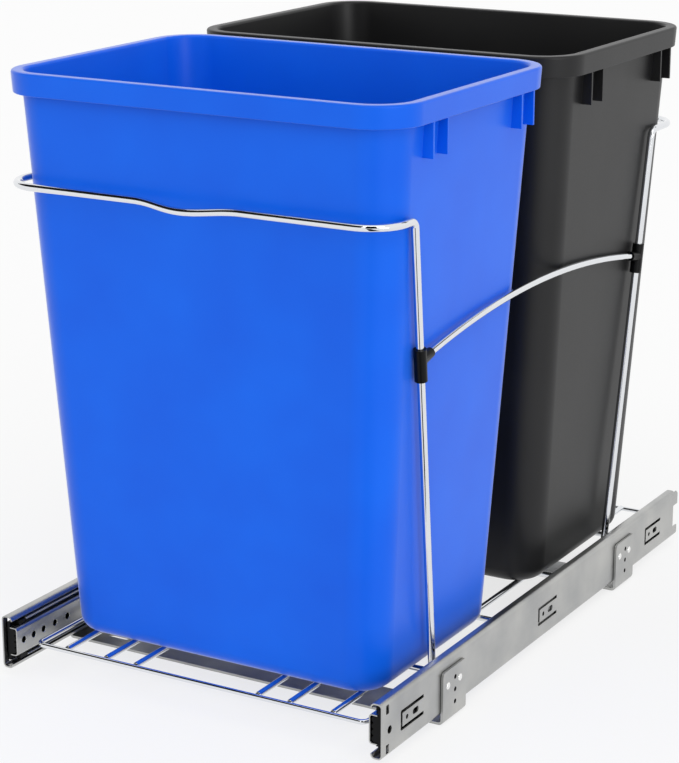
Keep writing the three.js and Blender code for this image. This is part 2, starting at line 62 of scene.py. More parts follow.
SLIDE_LENGTH = 559
SLIDE_THICKNESS = 12.7
SLIDE_Z = 29.4  # middle height of the slides
WEB_X = 172.8  # outer face of each outer rail's web, from the middle of the unit
FIT_GAP = 0.3  # between pieces that touch

OUTER = {"sheet": 1.2, "half": 22, "depth": 10, "bend": 3, "lip": 3.3, "lip_bend": 3.2}
WINDOW_FRONTS = (-251.5, -17.7, 203.8)
WINDOW = {"length": 35.5, "half": 8.1, "slot": 2.7, "drop": 1.3, "corner": 1.6}
WINDOW_SMALL_HOLE = {"back": 9.8, "radius": 1.9}
WINDOW_LONG_HOLE = {"back": 23, "radius": 2.4, "length": 9}
FRONT_HOLE = {"y": -268.3, "drop": 1.3, "radius": 3.1}
FRONT_SLOTS = {"y": -271.5, "radius": 2.2, "low": 12, "high": 19.2}
REAR_END = {"flange": 273, "corner": 5, "notch_low": -12.2, "notch_high": 8.6, "notch_depth": 9.5}

MID = {"sheet": 1.1, "half": 16.55, "web": 2.9, "edge": 10.9, "bend": 1.4, "front": -262, "rear": 268}
MID_LIP = {"drop": 1.1, "run": 2.2, "bend": 1.2}
STOP_SLOT = {"radius": 2.5, "length": 22}
SIGHT_HOLE = {"y": -242.4, "drop": 1, "radius": 3.2}

INNER = {"sheet": 1.1, "half": 11.9, "edge": 5.6, "bend": 2.2, "front": -277, "rear": 262}
DRAWER_HOLES = {"radius": 2.7, "ys": (-268.3, -255.4, -242.4, -227.3, -210.5, 205, 228, 251)}

# Ball cages: web, leg_end and a ball's u are distances u, leg is a height v, as in the slides section below
CAGES = {
    "outer": {"sheet": 0.9, "web": 1.6, "leg_end": 8.2, "leg": 18.7, "ends": (-140, 130)},
    "inner": {"sheet": 0.7, "web": 4.3, "leg_end": 9.4, "leg": 13.65, "ends": (-114, 114)},
}
BALLS = {"outer": {"u": 6.2, "radius": 1.85}, "inner": {"u": 7.2, "radius": 1.45}}
BALL_PITCH = 15

BUMPER = {"front": -276.5, "plate": 5.2, "plate_half": 16.2, "nose": 8.2, "nose_half": 10.3}
BUMPER_LUG = {"edge": 10.2, "low": 12.4, "set_back": 6}
BUMPER_TONGUE = {"half": 6, "length": 13}
SCALLOP = {"radius": 2.55, "count": 4}

PLATE = {"sheet": 2, "width": 38, "height": 42.4, "bend": 3}
PLATE_YS = {"front": -170, "rear": 154}
PLATE_HOLES = {"offset": 0.9, "radius": 1.9, "drops": (9.2, 19.4, 29.4)}
PLATE_RIVETS = {"offsets": (-10.8, 8.9), "radius": 2.9, "height": 0.9, "z": 29.8}
PLATE_NICKS = {"offsets": (-10.8, 8.9), "half": 1.5, "inset": 0.2, "high": 1.8}
PLATE_CORNERS = {"front": 4, "rear": 3}
FLOOR_SLOT = {"x": 136.6, "offset": -1.4, "length": 19.7, "radius": 3}

PERIMETER_WIRE = 2  # radii of the wires
CROSS_WIRE = 2.5
HOOP_WIRE = 3
BRACE_WIRE = 2.8
BASE = {"x": 150, "front": -264, "rear": 271, "corner": 6, "z": 26.2}
LENGTHWISE_XS = (-121.5, -84, -56, 56, 84, 121.5)
CROSSWISE_YS = (-146, -28, 90, 208)
HOOP = {"foot_x": 150, "top_x": 166, "foot_z": 28.5, "top_z": 396.9, "corner": 28, "shoulder": 7}
HOOPS = {
    "front": {"foot_y": -159.5, "top_y": -224, "run_y": -265, "bow": True},
    "rear": {"foot_y": 164, "top_y": 201, "run_y": 257, "bow": False},
}
BOW = {"half_chord": 46, "depth": 7.2, "droop": 2.6}  # finger pull in the front hoop
BRACE = {"z": 290, "rise": 18, "middle_y": -12, "half_span": 192}
CLIP = {"radius": 4.9, "height": 25, "drop": 3.5, "boss": 15.5, "boss_root": 4.7, "boss_tip": 3.9}
CLIP_WEB = {"half": 0.9, "reach": 11, "low": 12}  # thin web in the angle under the boss

BIN = {"floor": 29.9, "height": 452, "wall": 2.3, "edge": 12}
BIN_TOP = {"x": 165.5, "y": 119.4, "r": 30}  # outer wall where the rim's skirt ends
BIN_BOTTOM = {"x": 140.8, "y": 98.3, "r": 28}
RIM = {"overhang": 7.5, "skirt": 17, "sheet": 2.3, "round": 2.2, "fold": 0.8, "hem": (0.5, 0.7)}
RIB = {"sheet": 2.2, "drop": 43, "inset": 1.2, "ys": (-73, -51.5, 68, 88)}

NUGGETS = {  # half sizes of the welds
    "crossing": (1.9, 1.9, 1.3),
    "inner_rail": (0.3, 2.8, 2.8),
    "perimeter": (2.6, 1, 1.8),
    "hoop_foot": (2.4, 3.6, 1.4),
}
NUGGET_DROPS = {"perimeter": 0.6, "hoop_foot": 0.3}
EASE = {"rail": 0.2, "bumper": 0.3, "plate": 0.25, "clip": 0.5, "bin": 0.3}  # rounding of sharp edges
CREASE = 40  # degrees: an edge that turns by more stays sharp in smooth shading and is eased


# ---------------------------------------------------------------- materials
def srgb(code):
    """Linear colour of an sRGB hex value."""
    channels = [int(code[i : i + 2], 16) / 255 for i in (1, 3, 5)]
    return [c / 12.92 if c <= 0.04045 else ((c + 0.055) / 1.055) ** 2.4 for c in channels] + [1]


def add_node(tree, kind, settings):
    """Adds a node; a setting is a property, an input's value by name or number, or an output to link."""
    node = tree.nodes.new(kind)
    for name, value in settings.items():
        if isinstance(name, str) and name not in node.inputs:
            setattr(node, name, value)
        elif isinstance(value, bpy.types.NodeSocket):
            tree.links.new(value, node.inputs[name])
        else:
            node.inputs[name].default_value = value
    return node


def new_finish(name, settings):
    """A material, returned with its node tree, its shader and the object's coordinates."""
    material = bpy.data.materials.new(name)
    material.use_nodes = True
    tree = material.node_tree
    shader = tree.nodes["Principled BSDF"]
    for socket, value in settings.items():
        shader.inputs[socket].default_value = value
    place = add_node(tree, "ShaderNodeTexCoord", {}).outputs["Object"]
    return material, tree, shader, place


def noise(tree, place, grain, detail, roughness=0.5):
    """Noise whose grains are this many millimetres across."""
    settings = {"Vector": place, "Scale": 1 / (grain * MM), "Detail": detail, "Roughness": roughness}
    return add_node(tree, "ShaderNodeTexNoise", settings).outputs[0]


def spread(tree, value, low, high):
    """A value between nought and one, spread from low to high."""
    return add_node(tree, "ShaderNodeMapRange", {"Value": value, "To Min": low, "To Max": high}).outputs[0]


def tinted(tree, value, tints, ends=(0, 1)):
    """A colour that runs from one tint to another while the value runs between two ends."""
    ramp = add_node(tree, "ShaderNodeValToRGB", {"Fac": value})
    for element, code, end in zip(ramp.color_ramp.elements, tints, ends):
        element.position = end
        element.color = srgb(code)
    return ramp.outputs[0]


def rolled_zinc_steel(name, stretch):
    """Cold-rolled strip, bright zinc plated. Fine drawing lines run along the roll and stretch its
    reflections, and the plating's soft clouds vary its grey. Painted shade darkens holes, slots and the gaps
    between members, where nearby surfaces close a spot in. The lines are drawn 0.8 mm apart, coarser than
    real, to show."""
    line_gap = 0.8
    cloud = 45
    painted_shade_reach = 5
    painted_shade_starts, painted_shade_full = 0.6, 0.25  # shares of the surroundings that a spot is open to
    material, tree, shader, place = new_finish(name, {"Metallic": 1, "Roughness": 0.34})
    stretched = add_node(tree, "ShaderNodeMapping", {"Vector": place, "Scale": stretch}).outputs[0]
    lines = noise(tree, stretched, line_gap, 4, 0.55)
    clouds = noise(tree, place, cloud, 3)
    tint = tinted(tree, clouds, ("#A8A9A9", "#C0C0BD"), (0.3, 0.7))
    # painted shade: an ambient occlusion term darkens the colour toward #0E0E0E in holes, slots and gaps
    near = {"samples": 8, "Distance": painted_shade_reach * MM}
    open_share = add_node(tree, "ShaderNodeAmbientOcclusion", near).outputs["AO"]
    closed_in = {"Value": open_share, "From Min": painted_shade_starts, "From Max": painted_shade_full}
    painted_shade = add_node(tree, "ShaderNodeMapRange", closed_in).outputs[0]
    mix = {"Fac": painted_shade, "Color1": tint, "Color2": srgb("#0E0E0E")}
    tree.links.new(add_node(tree, "ShaderNodeMixRGB", mix).outputs[0], shader.inputs["Base Color"])
    tree.links.new(spread(tree, lines, 0.26, 0.44), shader.inputs["Roughness"])
    bump = add_node(tree, "ShaderNodeBump", {"Height": lines, "Strength": 0.5, "Distance": 0.02 * MM})
    tree.links.new(bump.outputs[0], shader.inputs["Normal"])
    return material


def bright_rivet_aluminium():
    """Cold-headed aluminium, bright from the header's polished die, with faint turned marks: small pale spots
    that catch the light against the greyer strip."""
    mark = 0.7
    material, tree, shader, place = new_finish("cold_headed_rivet_aluminium", {"Metallic": 1})
    shader.inputs["Base Color"].default_value = srgb("#F4F4F2")
    marks = noise(tree, place, mark, 2)
    tree.links.new(spread(tree, marks, 0.12, 0.28), shader.inputs["Roughness"])
    return material


def polished_ball_steel():
    """Through-hardened bearing steel, ground and lapped: near mirrors with a faint dark film of grease."""
    film = 6
    material, tree, shader, place = new_finish("lapped_bearing_steel", {"Metallic": 1})
    smear = noise(tree, place, film, 3)
    tree.links.new(spread(tree, smear, 0.06, 0.22), shader.inputs["Roughness"])
    tree.links.new(tinted(tree, smear, ("#A9ABAE", "#D2D3D5")), shader.inputs["Base Color"])
    return material


def bright_chrome_wire():
    """Drawn steel wire, polished and bright chrome plated: a cool mirror, with the slight waviness that
    drawing and polishing leave, which breaks long reflections. The waves are drawn 9 mm long."""
    wave = 9
    settings = {"Metallic": 1, "Roughness": 0.05}
    material, tree, shader, place = new_finish("bright_chrome_plated_wire", settings)
    shader.inputs["Base Color"].default_value = srgb("#E3E5E8")
    waves = noise(tree, place, wave, 2)
    tree.links.new(spread(tree, waves, 0.03, 0.1), shader.inputs["Roughness"])
    bump = add_node(tree, "ShaderNodeBump", {"Height": waves, "Strength": 0.6, "Distance": 0.08 * MM})
    tree.links.new(bump.outputs[0], shader.inputs["Normal"])
    return material


def moulded_plastic(name, deep, pale, roughness, specular, grit, haze=0):
    """Injection-moulded thermoplastic. A fine spark-eroded grain softens its highlights, slow sink waves
    bend them, and the colour drifts a little with the melt's flow. On polypropylene the grain's haze pales
    the faces that are seen at a low angle. The grain is drawn coarser than real, to show."""
    sink = 80
    settings = {"IOR": 1.49, "Specular IOR Level": specular, "Sheen Weight": haze, "Sheen Roughness": 0.3}
    material, tree, shader, place = new_finish(name, settings)
    flow = noise(tree, place, sink, 2)
    grain = noise(tree, place, grit, 3)
    tree.links.new(tinted(tree, flow, (deep, pale), (0.25, 0.75)), shader.inputs["Base Color"])
    tree.links.new(spread(tree, grain, *roughness), shader.inputs["Roughness"])
    waves = add_node(tree, "ShaderNodeBump", {"Height": flow, "Strength": 0.4, "Distance": 0.8 * MM})
    pits = {"Height": grain, "Strength": 0.35, "Distance": 0.03 * MM, "Normal": waves.outputs[0]}
    tree.links.new(add_node(tree, "ShaderNodeBump", pits).outputs[0], shader.inputs["Normal"])
    return material


ALONG_RAIL = (1, 0.012, 1)  # lines drawn out along Y
ALONG_PLATE = (0.012, 1, 1)  # lines drawn out along X
RAIL_STEEL = rolled_zinc_steel("zinc_plated_rolled_rail_steel", ALONG_RAIL)
PLATE_STEEL = rolled_zinc_steel("zinc_plated_rolled_strip_steel", ALONG_PLATE)
BALL_STEEL = polished_ball_steel()
CHROME = bright_chrome_wire()
RIVET_METAL = bright_rivet_aluminium()
# Deep and pale tint, roughness from and to, specular level, grain in millimetres, haze
ACETAL = moulded_plastic("moulded_black_acetal", "#030304", "#08090A", (0.24, 0.38), 0.16, 0.6)
BLUE_PP = moulded_plastic("moulded_blue_polypropylene", "#005CE2", "#0066EC", (0.3, 0.42), 0.22, 0.9, 0.55)
BLACK_PP = moulded_plastic("moulded_black_polypropylene", "#151516", "#1C1C1D", (0.34, 0.48), 0.34, 0.9, 0.05)


# ---------------------------------------------------------------- making solids
def rounded_path(corners, closed=False, steps=8):
    """Points of a path through corners (point, radius), with an arc at each corner that has a radius."""
    points = []
    count = len(corners)
    for i, (here, radius) in enumerate(corners):
        at_end = not closed and i in (0, count - 1)
        if at_end or radius == 0:
            points.append(here.copy())
            continue
        back = (corners[i - 1][0] - here).normalized()
        on = (corners[(i + 1) % count][0] - here).normalized()
        half = back.angle(on) / 2
        centre = here + (back + on).normalized() * (radius / math.sin(half))
        start = here + back * (radius / math.tan(half)) - centre
        end = here + on * (radius / math.tan(half)) - centre
        sweep = start.angle(end)
        for k in range(steps + 1):
            t = k / steps
            arc = start * math.sin((1 - t) * sweep) + end * math.sin(t * sweep)
            points.append(centre + arc / math.sin(sweep))
    return points


def rounded_outline(corners, closed=True, steps=6):
    """The same in a plane: corners are (a, b, radius), points are (a, b)."""
    path = rounded_path([(Vector((a, b, 0)), radius) for a, b, radius in corners], closed, steps)
    return [(p.x, p.y) for p in path]


def hole_outline(a, b, radius, length=0, steps=32):
    """A round hole, or a slot of the given length along the first axis."""
    half = max(length / 2 - radius, 0)
    points = []
    for k in range(steps):
        angle = 2 * math.pi * (k + 0.5) / steps
        end = a + math.copysign(half, math.cos(angle))
        points.append((end + radius * math.cos(angle), b + radius * math.sin(angle)))
    return points


def box_outline(a_range, b_range):
    (a0, a1), (b0, b1) = a_range, b_range
    return [(a0, b0), (a1, b0), (a1, b1), (a0, b1)]


def corner_cut(a, b, edge, radius):
    """What rounding takes off a top corner at (a, b); edge is 1 at a sheet's far end, -1 at its near one."""
    past = 2
    low = b - radius
    steps = 12
    outline = [(a + edge * past, low), (a + edge * past, b + past), (a - edge * radius, b + past)]
    for k in range(steps + 1):
        angle = math.pi / 2 * (1 - k / steps)
        outline.append((a + edge * radius * (math.cos(angle) - 1), low + radius * math.sin(angle)))
    return outline


def bent_sheet(line, sheet):
    """Outline of a bent sheet's section from its middle line of (a, b, bend radius)."""
    points = rounded_path([(Vector((a, b, 0)), bend) for a, b, bend in line])
    faces = ([], [])
    for i, p in enumerate(points):
        along = Vector()
        if i > 0:
            along += (p - points[i - 1]).normalized()
        if i < len(points) - 1:
            along += (points[i + 1] - p).normalized()
        out = Vector((-along.y, along.x, 0)).normalized() * (sheet / 2)
        faces[0].append((p.x + out.x, p.y + out.y))
        faces[1].append((p.x - out.x, p.y - out.y))
    return faces[0] + faces[1][::-1]


def mirrored(line):
    """A section's line carried on below the middle, where it is the same as above."""
    return line + [(a, -b, bend) for a, b, bend in reversed(line)]


def prism(outline, low, high, place):
    """A closed solid: an outline (a, b) pushed from low to high; place turns (a, b, depth) into a point."""
    count = len(outline)
    points = [place(a, b, depth) for depth in (low, high) for a, b in outline]
    faces = [(i, (i + 1) % count, count + (i + 1) % count, count + i) for i in range(count)]
    faces += [tuple(range(count)), tuple(range(count, 2 * count))]
    return points, faces


# Places for a prism's outline: as it is seen from the front, from above or from the right side
def front_view(a, b, depth):
    return Vector((a, depth, b))


def top_view(a, b, depth):
    return Vector((a, b, depth))


def side_view(a, b, depth):
    return Vector((depth, a, b))


def through_rings(rings, closed=False):
    """A closed skin through rings of points that have the same count."""
    count = len(rings[0])
    points = [p for ring in rings for p in ring]
    faces = []
    for i in range(len(rings) if closed else len(rings) - 1):
        a = i * count
        b = (i + 1) % len(rings) * count
        faces += [(a + k, a + (k + 1) % count, b + (k + 1) % count, b + k) for k in range(count)]
    if not closed:
        faces += [tuple(range(count)), tuple(range(len(points) - count, len(points)))]
    return points, faces


def rod(start, end, radius_a, radius_b, sides=32):
    """A straight round bar that may taper."""
    axis = (end - start).normalized()
    across = axis.orthogonal().normalized()
    other = axis.cross(across)
    rings = []
    for centre, radius in ((start, radius_a), (end, radius_b)):
        angles = [2 * math.pi * k / sides for k in range(sides)]
        rings.append([centre + (across * math.cos(t) + other * math.sin(t)) * radius for t in angles])
    return through_rings(rings)


def wire(points, radius, closed=False, sides=20):
    """Round wire: each ring lies in the plane that halves the bend there, and free ends are eased."""
    ease = 0.5
    radii = [radius] * len(points)
    if not closed:
        first, last = points[0], points[-1]
        points = [first, first + (points[1] - first).normalized() * ease, *points[1:-1],
                  last + (points[-2] - last).normalized() * ease, last]
        radii = [radius - ease, *[radius] * (len(points) - 2), radius - ease]
    count = len(points)
    up = None
    rings = []
    for i, p in enumerate(points):
        before = points[i - 1] if closed or i > 0 else p
        after = points[(i + 1) % count] if closed or i < count - 1 else p
        along = ((p - before).normalized() + (after - p).normalized()).normalized()
        if up is None:
            up = Vector((1, 0, 0)) if abs(along.z) > 0.9 else Vector((0, 0, 1))
        up = (up - along * up.dot(along)).normalized()
        side = along.cross(up)
        angles = [2 * math.pi * k / sides for k in range(sides)]
        rings.append([p + (up * math.cos(t) + side * math.sin(t)) * radii[i] for t in angles])
    return through_rings(rings, closed)


def ellipsoid(centre, half_sizes, segments=16, rows=10):
    """A small round bead, for balls, rivet heads and weld nuggets."""
    points = [centre + Vector((0, 0, half_sizes[2]))]
    for row in range(1, rows):
        polar = math.pi * row / rows
        level = math.sin(polar)
        for k in range(segments):
            turn = 2 * math.pi * k / segments
            unit = Vector((level * math.cos(turn), level * math.sin(turn), math.cos(polar)))
            points.append(centre + unit * Vector(half_sizes))
    points.append(centre - Vector((0, 0, half_sizes[2])))
    last = len(points) - 1
    faces = []
    for k in range(segments):
        n = (k + 1) % segments
        faces.append((0, 1 + k, 1 + n))
        faces.append((last, last - segments + n, last - segments + k))
        for row in range(rows - 2):
            a = 1 + row * segments
            faces.append((a + k, a + segments + k, a + segments + n, a + n))
    return points, faces


def mesh_object(name, solids):
    """One object of closed solids given as (points, faces) in millimetres."""
    points = []
    faces = []
    for solid_points, solid_faces in solids:
        start = len(points)
        points += [p * MM for p in solid_points]
        faces += [tuple(start + i for i in face) for face in solid_faces]
    mesh = bpy.data.meshes.new(name)
    mesh.from_pydata(points, [], faces)
    work = bmesh.new()
    work.from_mesh(mesh)
    bmesh.ops.recalc_face_normals(work, faces=work.faces)
    work.to_mesh(mesh)
    work.free()
    piece = bpy.data.objects.new(name, mesh)
    bpy.context.scene.collection.objects.link(piece)
    return piece


def carve(piece, operation, solids):
    """Joins solids to a piece or takes them out of it."""
    tool = mesh_object("tool", solids)
    modifier = piece.modifiers.new("carve", "BOOLEAN")
    modifier.operation = operation
    modifier.solver = "EXACT"
    modifier.use_self = True
    modifier.object = tool
    bpy.context.view_layer.update()
    carved = piece.evaluated_get(bpy.context.evaluated_depsgraph_get())
    mesh = bpy.data.meshes.new_from_object(carved)
    old = piece.data
    piece.modifiers.clear()
    piece.data = mesh
    bpy.data.meshes.remove(old)
    bpy.data.objects.remove(tool)


def shade(piece, sharp=CREASE):
    """Smooth faces, with creases kept where the surface turns by more than the given degrees."""
    piece.data.shade_smooth()
    piece.data.set_sharp_from_angle(angle=math.radians(sharp))


def ease_edges(piece, width):
    """Rounds a piece's sharp edges a little and keeps its flat faces flat."""
    bevel = piece.modifiers.new("eased_edges", "BEVEL")
    bevel.width = width * MM
    bevel.segments = 2
    bevel.limit_method = "ANGLE"
    bevel.angle_limit = math.radians(CREASE)
    bevel.use_clamp_overlap = True
    even = piece.modifiers.new("flat_faces_stay_flat", "WEIGHTED_NORMAL")
    even.keep_sharp = True


def seat(piece, node, slot, *finishes):
    """Gives a piece its finishes and lets it stand for a node on that node's body. The slot is not used."""
    which = [face.material_index for face in piece.data.polygons]  # clear() sets them all to nought
    piece.data.materials.clear()
    for finish in finishes:
        piece.data.materials.append(finish)
    for face, index in zip(piece.data.polygons, which):
        face.material_index = index if index < len(finishes) else 0
    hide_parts(node)
    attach(piece, BODY_OF[node])


# ---------------------------------------------------------------- slides
# On a slide, u runs inward from the outer rail's web and v up from the middle of the rail.
def along_slide(side):
    return lambda u, v, y: Vector((side * (WEB_X - u), y, SLIDE_Z + v))


def across_slide(side):
    return lambda y, v, u: Vector((side * (WEB_X - u), y, SLIDE_Z + v))


def pierce(rail, outlines, web, side):
    """Cuts outlines through the web of a rail; the middle of the web's sheet lies at the distance web."""
    reach = 2
    cuts = [prism(outline, web - reach, web + reach, across_slide(side)) for outline in outlines]
    carve(rail, "DIFFERENCE", cuts)


def outer_rail(side):
    tight = 1  # corner radius of the small cut-outs
    beyond = 1  # how far cutting solids run past the rail's end and edges
    half = OUTER["half"] - OUTER["sheet"] / 2
    edge = OUTER["depth"] - OUTER["sheet"] / 2
    web = OUTER["sheet"] / 2
    line = [(edge, half - OUTER["lip"], 0), (edge, half, OUTER["lip_bend"]), (web, half, OUTER["bend"])]
    end = SLIDE_LENGTH / 2
    section = bent_sheet(mirrored(line), OUTER["sheet"])
    rail = mesh_object("outer_rail", [prism(section, -end, end, along_slide(side))])

    outlines = []
    for front in WINDOW_FRONTS:
        rear = front + WINDOW["length"]
        low, high = -WINDOW["drop"] - WINDOW["half"], -WINDOW["drop"] + WINDOW["half"]
        slot, corner = WINDOW["slot"], WINDOW["corner"]
        outlines.append(
            rounded_outline(
                [
                    (rear, low, 0),
                    (rear, low + slot, 0),
                    (front + slot, low + slot, 0),
                    (front + slot, high - slot, 0),
                    (rear, high - slot, 0),
                    (rear, high, 0),
                    (front, high, corner),
                    (front, low, corner),
                ]
            )
        )
        small, long_hole = WINDOW_SMALL_HOLE, WINDOW_LONG_HOLE
        outlines.append(hole_outline(front + small["back"], -WINDOW["drop"], small["radius"]))
        outlines.append(
            hole_outline(front + long_hole["back"], -WINDOW["drop"], long_hole["radius"], long_hole["length"])
        )
    outlines.append(hole_outline(FRONT_HOLE["y"], -FRONT_HOLE["drop"], FRONT_HOLE["radius"]))
    for sign in (1, -1):
        low, high = sorted(sign * FRONT_SLOTS[key] for key in ("low", "high"))
        front, rear = (FRONT_SLOTS["y"] + way * FRONT_SLOTS["radius"] for way in (-1, 1))
        corners = box_outline((front, rear), (low, high))
        outlines.append(rounded_outline([(y, v, tight) for y, v in corners]))
    past = end + beyond
    notch_front = end - REAR_END["notch_depth"]
    outlines.append(
        rounded_outline(
            [
                (notch_front, REAR_END["notch_low"], tight),
                (past, REAR_END["notch_low"], 0),
                (past, REAR_END["notch_high"], 0),
                (notch_front, REAR_END["notch_high"], tight),
            ]
        )
    )
    # Rear end: the web's top corner is rounded and the top flange stops short.
    outlines.append(corner_cut(end, OUTER["half"], 1, REAR_END["corner"]))
    web_alone = (-2, OUTER["depth"] / 2)  # from outside the rail to the middle of its channel
    cuts = [prism(outline, *web_alone, across_slide(side)) for outline in outlines]
    above_middle = 2
    flange = box_outline((REAR_END["flange"], past), (above_middle, OUTER["half"] + beyond))
    cuts.append(prism(flange, OUTER["sheet"], OUTER["depth"] + beyond, across_slide(side)))
    carve(rail, "DIFFERENCE", cuts)
    return rail


def mid_rail(side):
    half = MID["half"] - MID["sheet"] / 2
    web = MID["web"] + MID["sheet"] / 2
    edge = MID["edge"]
    line = [
        (edge, half - MID_LIP["drop"], 0),
        (edge - MID_LIP["run"], half, MID_LIP["bend"]),
        (web, half, MID["bend"]),
    ]
    section = bent_sheet(mirrored(line), MID["sheet"])
    rail = mesh_object("mid_rail", [prism(section, MID["front"], MID["rear"], along_slide(side))])
    holes = [
        hole_outline(SIGHT_HOLE["y"], -SIGHT_HOLE["drop"], SIGHT_HOLE["radius"]),
        hole_outline(0, 0, STOP_SLOT["radius"], STOP_SLOT["length"]),
    ]
    pierce(rail, holes, web, side)
    return rail


def inner_rail(side):
    half = INNER["half"] - INNER["sheet"] / 2
    web = SLIDE_THICKNESS - INNER["sheet"] / 2
    line = [(INNER["edge"], half, 0), (web, half, INNER["bend"])]
    section = bent_sheet(mirrored(line), INNER["sheet"])
    rail = mesh_object("inner_rail", [prism(section, INNER["front"], INNER["rear"], along_slide(side))])
    pierce(rail, [hole_outline(y, 0, DRAWER_HOLES["radius"]) for y in DRAWER_HOLES["ys"]], web, side)
    return rail


def ball_cage(cage, ball, side):
    """A pressed strip with a leg in each raceway; the balls sit in the legs and stand proud on both faces."""
    web = cage["web"] + cage["sheet"] / 2
    bend = 1
    line = [(cage["leg_end"], cage["leg"], 0), (web, cage["leg"], bend)]
    low, high = cage["ends"]
    section = bent_sheet(mirrored(line), cage["sheet"])
    count = int((high - low) / BALL_PITCH)
    balls = []
    for sign in (1, -1):
        for i in range(count):
            y = low + (high - low) * (i + 0.5) / count
            centre = along_slide(side)(ball["u"], sign * cage["leg"], y)
            balls.append(ellipsoid(centre, [ball["radius"]] * 3))
    strip = prism(section, low, high, along_slide(side))
    piece = mesh_object("ball_cage", [strip, *balls])
    strip_faces = len(strip[1])
    for face in piece.data.polygons[strip_faces:]:
        face.material_index = 1
    return piece


def front_bumper(side):
    """Moulded stop; four rounded ridges on its nose fill the inner rail's channel."""
    front, rear = BUMPER["front"], MID["front"] - FIT_GAP
    back, plate, half = MID["web"], BUMPER["plate"], BUMPER["plate_half"]
    nose, nose_half = BUMPER["nose"], BUMPER["nose_half"]
    outline = [(back, -half), (plate, -half), (plate, -nose_half), (nose, -nose_half)]
    ridge_steps = 8
    for i in range(SCALLOP["count"]):
        middle = (i - (SCALLOP["count"] - 1) / 2) * 2 * SCALLOP["radius"]
        for k in range(1, ridge_steps):
            angle = math.pi * (k / ridge_steps - 0.5)
            out, up = SCALLOP["radius"] * math.cos(angle), SCALLOP["radius"] * math.sin(angle)
            outline.append((nose + out, middle + up))
    outline += [(nose, nose_half), (plate, nose_half), (plate, half), (back, half)]
    piece = mesh_object("front_bumper", [prism(outline, front, rear, along_slide(side))])
    overlap, tongue_root = 0.3, 1  # how far the lugs and the tongue start inside the stop
    lugs = []
    for sign in (1, -1):
        v = sorted((sign * BUMPER_LUG["low"], sign * half))
        lug = box_outline((plate - overlap, BUMPER_LUG["edge"]), v)
        lugs.append(prism(lug, front + BUMPER_LUG["set_back"], rear, along_slide(side)))
    tongue_half = BUMPER_TONGUE["half"]
    tongue = box_outline((back + MID["sheet"] + FIT_GAP, plate), (-tongue_half, tongue_half))
    lugs.append(prism(tongue, rear - tongue_root, rear + BUMPER_TONGUE["length"], along_slide(side)))
    carve(piece, "UNION", lugs)
    return piece


def place_slides():
    for word, side in SIDES.items():
        for part, make in (("outer_rail", outer_rail), ("mid_rail", mid_rail), ("inner_rail", inner_rail)):
            rail = make(side)
            rail.name = f"{word}_{part}_rolled"
            shade(rail)
            ease_edges(rail, EASE["rail"])
            seat(rail, f"{word}_{part}", "zinc_steel", RAIL_STEEL)
        for part, cage in CAGES.items():
            strip = ball_cage(cage, BALLS[part], side)
            strip.name = f"{word}_{part}_ball_strip"
            shade(strip)
            seat(strip, f"{word}_{part}_ball_cage", "ball_steel", RAIL_STEEL, BALL_STEEL)
        bumper = front_bumper(side)
        bumper.name = f"{word}_front_bumper_moulding"
        shade(bumper, 50)  # keeps its ridges round
        ease_edges(bumper, EASE["bumper"])
        seat(bumper, f"{word}_front_bumper", "black_plastic", ACETAL)


# ---------------------------------------------------------------- cross plates
def place_cross_plates():
    """Bent strips with holes, floor slots and nicks, and the heads of the rivets that hold the rails."""
    head_facets = (24, 16)
    hair = 0.01  # faces that lie further out than the plate by this belong to a rivet head
    x = WEB_X + FIT_GAP + PLATE["sheet"] / 2
    z = PLATE["sheet"] / 2
    line = [(-x, PLATE["height"], 0), (-x, z, PLATE["bend"]), (x, z, PLATE["bend"]), (x, PLATE["height"], 0)]
    section = bent_sheet(line, PLATE["sheet"])
    half = PLATE["width"] / 2
    for word, y in PLATE_YS.items():
        plate = mesh_object(f"{word}_cross_plate_bent", [prism(section, y - half, y + half, front_view)])
        cuts = []
        heads = []
        for side in SIDES.values():
            slot_at = (side * FLOOR_SLOT["x"], y + FLOOR_SLOT["offset"])
            slot = hole_outline(*slot_at, FLOOR_SLOT["radius"], FLOOR_SLOT["length"])
            cuts.append(prism(slot, -1, PLATE["sheet"] + 1, top_view))
            ends = sorted((side * (x - PLATE["sheet"]), side * (x + PLATE["sheet"])))
            outlines = [
                hole_outline(y + PLATE_HOLES["offset"], PLATE["height"] - drop, PLATE_HOLES["radius"])
                for drop in PLATE_HOLES["drops"]
            ]
            outlines.append(corner_cut(y - half, PLATE["height"], -1, PLATE_CORNERS["front"]))
            outlines.append(corner_cut(y + half, PLATE["height"], 1, PLATE_CORNERS["rear"]))
            cuts += [prism(outline, *ends, side_view) for outline in outlines]
            for offset in PLATE_NICKS["offsets"]:
                wide = (y + offset - PLATE_NICKS["half"], y + offset + PLATE_NICKS["half"])
                deep = sorted((side * (x + PLATE_NICKS["inset"]), side * (x + PLATE["sheet"])))
                nick = box_outline(wide, (-1, PLATE_NICKS["high"]))
                cuts.append(prism(nick, *deep, side_view))
            for offset in PLATE_RIVETS["offsets"]:
                head = Vector((side * (x + PLATE["sheet"] / 2), y + offset, PLATE_RIVETS["z"]))
                size = (PLATE_RIVETS["height"], PLATE_RIVETS["radius"], PLATE_RIVETS["radius"])
                heads.append(ellipsoid(head, size, *head_facets))
        carve(plate, "DIFFERENCE", cuts)
        carve(plate, "UNION", heads)
        proud_of = (x + PLATE["sheet"] / 2 + hair) * MM
        for face in plate.data.polygons:
            face.material_index = 1 if abs(face.center.x) > proud_of else 0
        shade(plate)
        ease_edges(plate, EASE["plate"])
        seat(plate, f"{word}_cross_plate", "zinc_steel", PLATE_STEEL, RIVET_METAL)


